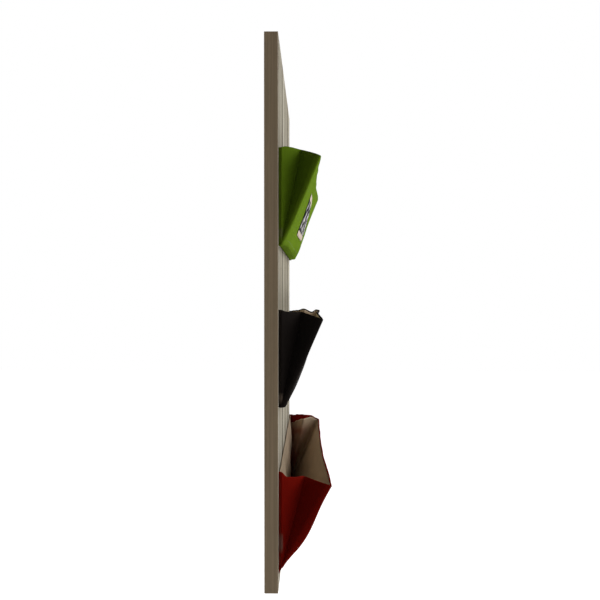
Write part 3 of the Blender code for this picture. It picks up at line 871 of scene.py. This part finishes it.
def bend_with_front(piece, pocket):
    """Applies the piece's modifiers and bakes its transform; the hinge and turn shares are read,
    unused.
    """
    apply_modifiers(piece)
    start = pocket.hinge
    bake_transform(piece)
    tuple(start)
    turn_shares(piece)


def declare_sheet(piece, area, flat):
    width, length = flat
    if area > width * length:
        length = area / width


def mark(piece, name, values):
    """Keeps one number for each vertex in an attribute of the mesh."""
    attribute = piece.data.attributes.new(name, "FLOAT", "POINT")
    attribute.data.foreach_set("value", values.astype(np.float32))


# Cloth pieces

def mark_worn_seams(piece, pocket):
    """The cloth is rubbed pale on the folded edge by the board, above the lower tips."""
    places = np.array([vertex.co for vertex in piece.data.vertices])
    low, high = pocket.worn_span
    heights = places[:, 2] - pocket.hinge.z
    span = np.clip(np.minimum(heights - low, high - heights) / WORN_END, 0.0, 1.0)
    close = np.clip((places[:, 1] - pocket.hinge.y + WORN_REACH) / WORN_BLUR, 0.0, 1.0)
    outer = np.clip((np.abs(places[:, 0]) - pocket.half + WORN_OUTER) / WORN_BLUR, 0.0, 1.0)
    mark(piece, "worn", pocket.worn_share * span * close * outer)


def make_outer_cloth(pocket, columns, material):
    """The coloured wall: gusset, front and gusset in one cut, its rim rolled over to the inside."""
    weights = np.array([strip.weight for strip in columns])
    wall = wall_grid(columns, np.ones(len(columns)), 1.0)
    normals, upward = grid_normals(wall)
    top, out, along = wall[:, -1], normals[:, -1], upward[:, -1]
    flange = len(FLANGE_SHARES)
    roll = np.full((len(columns), 1), RIM_ROLL)
    roll[:flange] = roll[-flange:] = FLANGE_ROLL
    rows = [wall]
    for i in range(1, RIM_TURNS + 1):
        turn = math.pi * i / RIM_TURNS
        rolled = top + along * (roll * math.sin(turn)) - out * (roll * (1 - math.cos(turn)))
        rows.append(rolled[:, None])
    rows.append((top - out * (2 * roll) - along * RIM_TUCK)[:, None])
    grid = np.concatenate(rows, axis=1)
    name = f"{pocket.colour}_outer_cloth"
    piece, area, flat = grid_object(name, grid, material, CLOTH, weights)
    mark_worn_seams(piece, pocket)
    bend_with_front(piece, pocket)
    leaves = [f"{pocket.colour}_gusset_{end}_{side}" for end in ("rear", "front") for side in SIDES]
    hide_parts(f"{pocket.colour}_front_panel", *leaves)
    declare_sheet(piece, area, flat)


def lining_tops(pocket, columns):
    """The lining stops just under the rim on the front, and at the hem's end on the gussets."""
    deepest = pocket.hem_drop - LINING_DROP
    hems = [max(0.0, 1 - strip.weight / HEM_END_TURN) for strip in columns]
    drops = [LINING_DROP + deepest * hem for hem in hems]
    return 1 - np.array(drops) / pocket.height


def mark_painted_gusset_shade(piece, pocket):
    """Painted shade and bounce tint on the gussets' lining below the hem, most in the rear leaf."""
    heights = np.array([vertex.co.z for vertex in piece.data.vertices]) - pocket.hinge.z
    deep = np.clip((GUSSET_SHADE_TOP - heights / pocket.height) / GUSSET_SHADE_TOP_RUN, 0.0, 1.0)
    rear = np.clip((GUSSET_SHADE_FRONT - turn_shares(piece)) / GUSSET_SHADE_FRONT_RUN, GUSSET_SHADE_LEAST, 1.0)
    # The mask says where painted shade, tinted by the cloth, covers the lining
    mark(piece, "gusset_shade_mask", GUSSET_SHADE_STRENGTH * deep * rear)


def make_front_lining(pocket, columns, material):
    """The lining of the front and the gussets, without the flanges."""
    flange = len(FLANGE_SHARES)
    first = flange + len(SEAM_STEPS) + GUSSET_COLUMNS + 1
    last = first + CORNER_COLUMNS - 1
    inner = []
    for i in range(flange, len(columns) - flange):
        from_end = min(i, len(columns) - 1 - i)
        share = 1.0 - smooth((from_end - first) / (last - first))
        inner.append(lining_column(columns[i], share))
    weights = np.array([strip.weight for strip in inner])
    wall = wall_grid(inner, lining_tops(pocket, inner), LINING_FOOT_SHARE)
    normals, _ = grid_normals(wall)
    name = f"{pocket.colour}_lining_cloth"
    piece, area, flat = grid_object(name, wall - normals * LINING_INSET, material, LINING, weights)
    mark_painted_gusset_shade(piece, pocket)
    bend_with_front(piece, pocket)
    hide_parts(f"{pocket.colour}_front_lining")
    declare_sheet(piece, area, flat)


def back_cloth_swell(pocket, across, up):
    """How far the back cloth stands off the board: soft waves, still at its edges."""
    phase = pocket.back_phase
    wide = math.sin(9 * across + 4 * up + phase) ** 2
    narrow = math.sin(31 * across - 2 * up + phase) ** 2
    rise = math.sin(math.pi * up) ** 0.5 * (1 - (2 * across - 1) ** 12)
    return pocket.back_swell * (wide + 0.8 * narrow) * rise


def make_back_cloth(pocket, material):
    """The lined back of the pocket, flat on the board, with a soft top edge."""
    columns, rows = BACK_CLOTH_GRID
    grid = np.zeros((columns + 1, rows + 1, 3))
    bottom = pocket.hinge.z + BACK_CLOTH_RISE
    left_sag, right_sag = (rim_sag(pocket, side, 0.0) for side in SIDES)
    for c in range(columns + 1):
        across = c / columns
        x = (2 * across - 1) * (pocket.half - BACK_CLOTH_INSET)
        sag = left_sag * (1 - across) + right_sag * across
        wave = BACK_CLOTH_WAVE * math.sin(17 * across + pocket.back_phase)
        top = pocket.hinge.z + pocket.height - sag - BACK_CLOTH_DROP + wave
        for r in range(rows + 1):
            up = r / rows
            y = pocket.board_face - BACK_CLOTH_LIFT - back_cloth_swell(pocket, across, up)
            grid[c, r] = (x, y, bottom + (top - bottom) * up)
    piece, area, flat = grid_object(f"{pocket.colour}_back_cloth", grid, material, BACK_CLOTH)
    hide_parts(f"{pocket.colour}_back_panel")
    apply_modifiers(piece)
    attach(piece, "panel")
    declare_sheet(piece, area, flat)


def make_binding(pocket, material):
    """The tape along the bottom seam: down the board and forwards inside the front's foot."""
    tape_y = pocket.board_face - CLOTH
    grid = np.zeros((TAPE_COLUMNS + 1, TAPE_ROWS + 3, 3))
    for c in range(TAPE_COLUMNS + 1):
        across = TAPE_END_SHARE + (1 - 2 * TAPE_END_SHARE) * c / TAPE_COLUMNS
        reach, flat = foot_sizes(pocket, across)
        radius = max(TAPE_LEAST_RADIUS, reach * min(1.0, flat) - TAPE_INSET)
        x = (2 * across - 1) * pocket.half
        back_turn = math.pi / 2 + math.asin(min(1.0, (tape_y - pocket.hinge.y) / radius))
        grid[c, 0] = (x, tape_y, pocket.hinge.z + TAPE_FLANGE)
        grid[c, 1] = (x, tape_y, pocket.hinge.z - radius * math.sin(back_turn) * 0.5)
        for r in range(TAPE_ROWS + 1):
            turn = back_turn + (TAPE_ROLL_START - back_turn) * r / TAPE_ROWS
            y = pocket.hinge.y - radius * math.cos(turn)
            grid[c, 2 + r] = (x, y, pocket.hinge.z - radius * math.sin(turn))
    piece, area, flat = grid_object(f"{pocket.colour}_binding_tape", grid, material, CLOTH)
    apply_modifiers(piece)
    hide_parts(f"{pocket.colour}_bottom_binding")
    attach(piece, "panel")
    declare_sheet(piece, area, flat)


def stitch_row(name, places, material):
    """A run of small sewn stitches, each a short rounded bar between two points."""
    shape = bmesh.new()
    for start, end in places:
        reach = end - start
        turn = reach.to_track_quat("Z", "Y").to_matrix().to_4x4()
        turn.translation = (start + end) / 2
        verts = bmesh.ops.create_icosphere(shape, subdivisions=1, radius=1.0)["verts"]
        bmesh.ops.scale(shape, vec=(STITCH_RADIUS, STITCH_RADIUS, reach.length / 2), verts=verts)
        bmesh.ops.transform(shape, matrix=turn, verts=verts)
    mesh = bpy.data.meshes.new(name)
    shape.to_mesh(mesh)
    shape.free()
    return new_piece(name, mesh, material)


def front_stitches(pocket, material):
    """Rows of stitches under the front's rim and above its foot."""
    width = 2 * pocket.half
    count = int((width - 4 * CORNER_REACH) / STITCH_PITCH)
    first = (width - count * STITCH_PITCH) / 2
    rim, foot = 1 - RIM_STITCH_DROP / pocket.height, FOOT_STITCH_RISE / pocket.height
    for row, up in (("rim", rim), ("foot", foot)):
        places = []
        for i in range(count):
            x = first + i * STITCH_PITCH
            start = front_place(pocket, x / width, up)
            end = front_place(pocket, (x + STITCH_LENGTH) / width, up)
            places.append((start, end))
        piece = stitch_row(f"{pocket.colour}_{row}_stitches", places, material)
        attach(piece, f"{pocket.colour}_front")


def make_label(pocket):
    """The card on the front, with round corners, laid on the curved cloth."""
    half_x, half_z = LABEL_HALF_SIZE
    columns, rows = LABEL_GRID
    shape = bmesh.new()
    bmesh.ops.create_grid(shape, x_segments=columns, y_segments=rows, size=1.0)
    layer = shape.verts.layers.float_vector.new("flat")
    for vertex in shape.verts:
        x, z = vertex.co.x * half_x, vertex.co.y * half_z
        over_x, over_z = abs(x) - (half_x - LABEL_CORNER), abs(z) - (half_z - LABEL_CORNER)
        if over_x > 0 and over_z > 0:
            far = math.hypot(over_x, over_z)
            square = max(over_x, over_z)
            x = math.copysign(half_x - LABEL_CORNER + over_x * square / far, x)
            z = math.copysign(half_z - LABEL_CORNER + over_z * square / far, z)
        vertex[layer] = (x, z, 0.0)
        across, up = 0.5 + x / (2 * pocket.half), 0.5 + z / pocket.height
        vertex.co = front_place(pocket, across, up, -LABEL_LIFT)
    mesh = bpy.data.meshes.new("green_label_card")
    shape.to_mesh(mesh)
    shape.free()
    card = new_piece("green_label_card", mesh, label_material())
    thicken(card, LABEL_THICKNESS, 1.0)
    apply_modifiers(card)
    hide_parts("green_label")
    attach(card, "green_front")


def make_pocket(colour, back_lining):
    pocket = facts_of(colour)
    cloth = cloth_material(f"{colour}_weave", pocket.tint, OUTER_WEAVE)
    worn = cloth_material(f"{colour}_worn_weave", pocket.tint, OUTER_WEAVE, WORN, "worn")
    thread = thread_material(f"{colour}_thread", tone(pocket.tint, 0.8))
    # The front lining's beige is painted lighter, as painted light inside the pocket
    inside = tone(BEIGE, FRONT_LINING_PAINTED_LIGHT)
    name = f"beige_painted_shade_{colour}"
    # The lining is painted darker in the gussets, as painted shade tinted by bounce from the cloth
    lining = cloth_material(name, inside, LINING_WEAVE, pocket.behind, "gusset_shade_mask")
    columns = pocket_columns(pocket)
    make_outer_cloth(pocket, columns, worn)
    make_front_lining(pocket, columns, lining)
    make_back_cloth(pocket, back_lining)
    make_binding(pocket, cloth)
    front_stitches(pocket, thread)
    if colour == "green":
        make_label(pocket)


# Carried-over solids

def dress(name, material):
    piece = frame["nodes"][name]
    piece.data.materials.clear()
    piece.data.materials.append(material)


def dress_solids():
    dress("core_board", fibreboard_material())
    dress("face_sheet", plank_material())
    upright, level = band_material("side_band", 2), band_material("end_band", 0)
    for side in SIDES:
        dress(f"edge_band_{side}", upright)
    for side in ("top", "bottom"):
        dress(f"edge_band_{side}", level)
    steel, lacquer = steel_material(), lacquer_material()
    for name in frame["nodes"]:
        if name.startswith(("keyhole_plate", "plate_screw")):
            dress(name, steel)
        if "_tack_" in name:
            dress(name, lacquer)


# Stage, light and camera

def add_lamp(name, place, size, power):
    data = bpy.data.lights.new(name, "AREA")
    data.shape = "SQUARE"
    data.size = size
    data.energy = power
    lamp = bpy.data.objects.new(name, data)
    lamp.location = place
    lamp.rotation_euler = (-Vector(place)).to_track_quat("-Z", "Y").to_euler()
    bpy.context.scene.collection.objects.link(lamp)


def show_white(graph, plain, white, output):
    """White to the camera, reflections and refractions, and the plain shader to other rays."""
    path = graph.add("ShaderNodeLightPath")
    seen = graph.calc("MAXIMUM", path.outputs["Is Camera Ray"], path.outputs["Is Glossy Ray"])
    seen = graph.calc("MAXIMUM", seen, path.outputs["Is Transmission Ray"])
    mix = graph.add("ShaderNodeMixShader", {0: seen, 1: plain, 2: white})
    graph.feed(graph.nodes[output].inputs["Surface"], mix.outputs[0])


def make_stage():
    under = CAD_BOX[0][2] - FLOOR_DROP
    bpy.ops.mesh.primitive_plane_add(size=FLOOR_SIZE, location=(0.0, 0.0, under))
    floor = bpy.context.object
    floor.name = "floor"
    paint = Paint("pale_floor", FLOOR_GREY, 0.9)
    away = paint.add("ShaderNodeVectorMath", {0: paint.place()}, operation="LENGTH")
    far = paint.ramp(away.outputs["Value"], FLOOR_NEAR, FLOOR_FAR)
    strength = paint.calc("MULTIPLY_ADD", far, 1 - FLOOR_GLOW, FLOOR_GLOW)
    glow = paint.add("ShaderNodeEmission", {"Color": WHITE, "Strength": strength}).outputs[0]
    lit = paint.add("ShaderNodeBsdfDiffuse", {"Color": FLOOR_GREY}).outputs[0]
    white = paint.add("ShaderNodeAddShader", {0: lit, 1: glow}).outputs[0]
    show_white(paint, paint.shader.outputs[0], white, "Material Output")
    floor.data.materials.append(paint.material)


def make_world():
    world = bpy.data.worlds.new("studio")
    bpy.context.scene.world = world
    world.use_nodes = True
    graph = Graph(world.node_tree)
    plain = graph.nodes["Background"]
    graph.feed(plain.inputs["Color"], WHITE)
    graph.feed(plain.inputs["Strength"], AMBIENT)
    white = graph.add("ShaderNodeBackground", {"Color": WHITE, "Strength": 1.0})
    show_white(graph, plain.outputs[0], white.outputs[0], "World Output")


def make_camera():
    data = bpy.data.cameras.new("camera")
    data.lens = LENS_MM
    camera = bpy.data.objects.new("camera", data)
    camera.location = CAMERA_PLACE
    camera.rotation_euler = Vector(CAMERA_TOWARDS).to_track_quat("-Z", "Y").to_euler()
    bpy.context.scene.collection.objects.link(camera)
    bpy.context.scene.camera = camera


make_camera()
make_world()
make_stage()
for lamp_name, lamp_facts in LAMPS.items():
    add_lamp(lamp_name, *lamp_facts)
bpy.context.scene.view_settings.view_transform = "Standard"

dress_solids()
beige = cloth_material("beige_weave", tone(BEIGE, BACK_LINING_TONE), LINING_WEAVE)
for pocket_colour in POCKETS:
    make_pocket(pocket_colour, beige)
